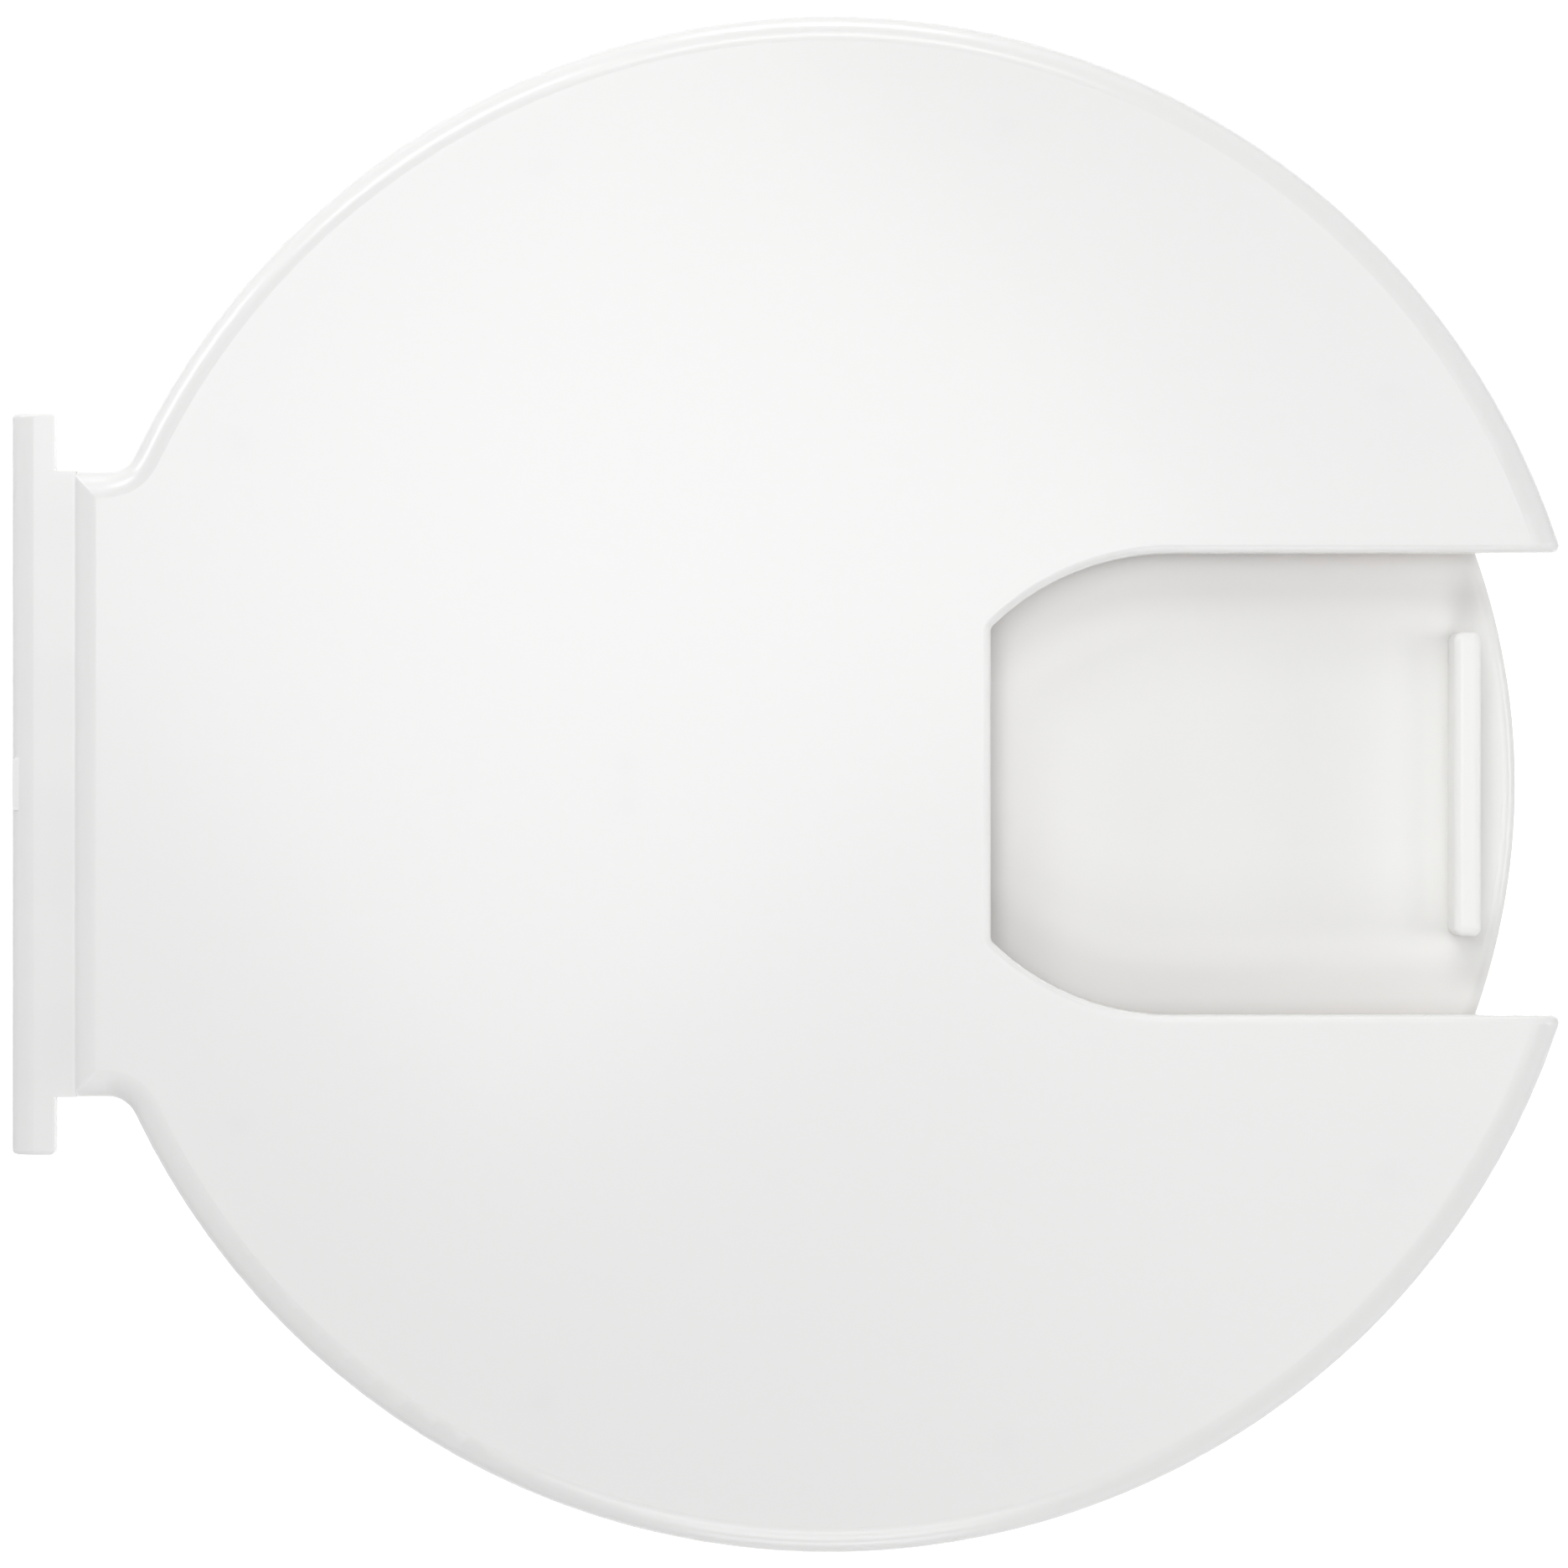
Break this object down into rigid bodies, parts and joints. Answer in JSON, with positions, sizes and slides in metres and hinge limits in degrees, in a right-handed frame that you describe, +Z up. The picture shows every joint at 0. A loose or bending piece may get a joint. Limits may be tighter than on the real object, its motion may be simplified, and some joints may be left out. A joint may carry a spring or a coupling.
{
  "type": "ice fishing tip up",
  "caption": "Round hole-cover tip-up: insulated drum with a line spool and turning trigger below a notched lid that tips up on a rear hinge bar as the bite signal.",
  "frame": {"origin": "on the ice plane, under the centre of the round lid, which is also the spindle's axis", "axes": "+Z up out of the ice hole, +X towards the notch at the front of the lid, the hinge runs along Y at the back (-X)"},
  "size_m": [0.2599, 0.258, 0.058],
  "materials": {
    "white_lid": "glossy moulded white plastic",
    "white_shell": "glossy moulded white plastic",
    "white_ring": "lightly textured white plastic",
    "foam": "expanded bead foam",
    "flag_orange": "bright satin sheet",
    "catch_plastic": "satin black nylon",
    "trigger_plastic": "satin red nylon",
    "spool_plastic": "satin black moulded plastic",
    "braided_line": "coated braided line",
    "nylon": "natural nylon",
    "felt": "pressed felt",
    "rubber": "black rubber",
    "brass": "turned brass",
    "steel_rod": "drawn stainless steel",
    "spring_steel": "spring wire",
    "steel_screw": "zinc-plated steel"
  },
  "bodies": {
    "base": {"base_shell": "white_shell", "base_ring": "white_ring", "ring_screws": "steel_screw", "insulation_foam": "foam", "lid_bumpers": "rubber", "hinge_springs": "spring_steel", "spindle_bush": "brass", "line_guide": "catch_plastic", "guide_eyelet": "brass", "guide_screws": "steel_screw"},
    "lid": {"lid": "white_lid", "hinge_pin": "steel_rod", "hinge_clips": "spring_steel", "flag_panel": "flag_orange", "flag_screws": "steel_screw", "lid_catch": "catch_plastic", "catch_screws": "steel_screw"},
    "spindle": {"spindle": "steel_rod", "thrust_washers": "nylon", "trigger_arm": "trigger_plastic", "trigger_set_screw": "steel_screw", "friction_washer": "felt", "drag_spring": "spring_steel", "drag_washer": "steel_rod"},
    "spool": {"spool": "spool_plastic", "wound_line": "braided_line"},
    "wing_nut": {"wing_nut": "brass"}
  },
  "joints": [
    {"name": "lid_tip", "type": "hinge", "parent": "base", "child": "lid", "pos_m": [-0.1332, 0, 0.0516], "axis": [0, -1, 0], "range_deg": [0, 95]},
    {"name": "spindle_spin", "type": "hinge", "parent": "base", "child": "spindle", "pos_m": [0, 0, 0.04], "axis": [0, 0, 1], "continuous": true},
    {"name": "spool_slip", "type": "hinge", "parent": "spindle", "child": "spool", "pos_m": [0, 0, 0.023], "axis": [0, 0, 1], "continuous": true},
    {"name": "drag_turn", "type": "hinge", "parent": "spindle", "child": "wing_nut", "pos_m": [0, 0, 0.0055], "axis": [0, 0, 1], "range_deg": [-90, 90]}
  ]
}
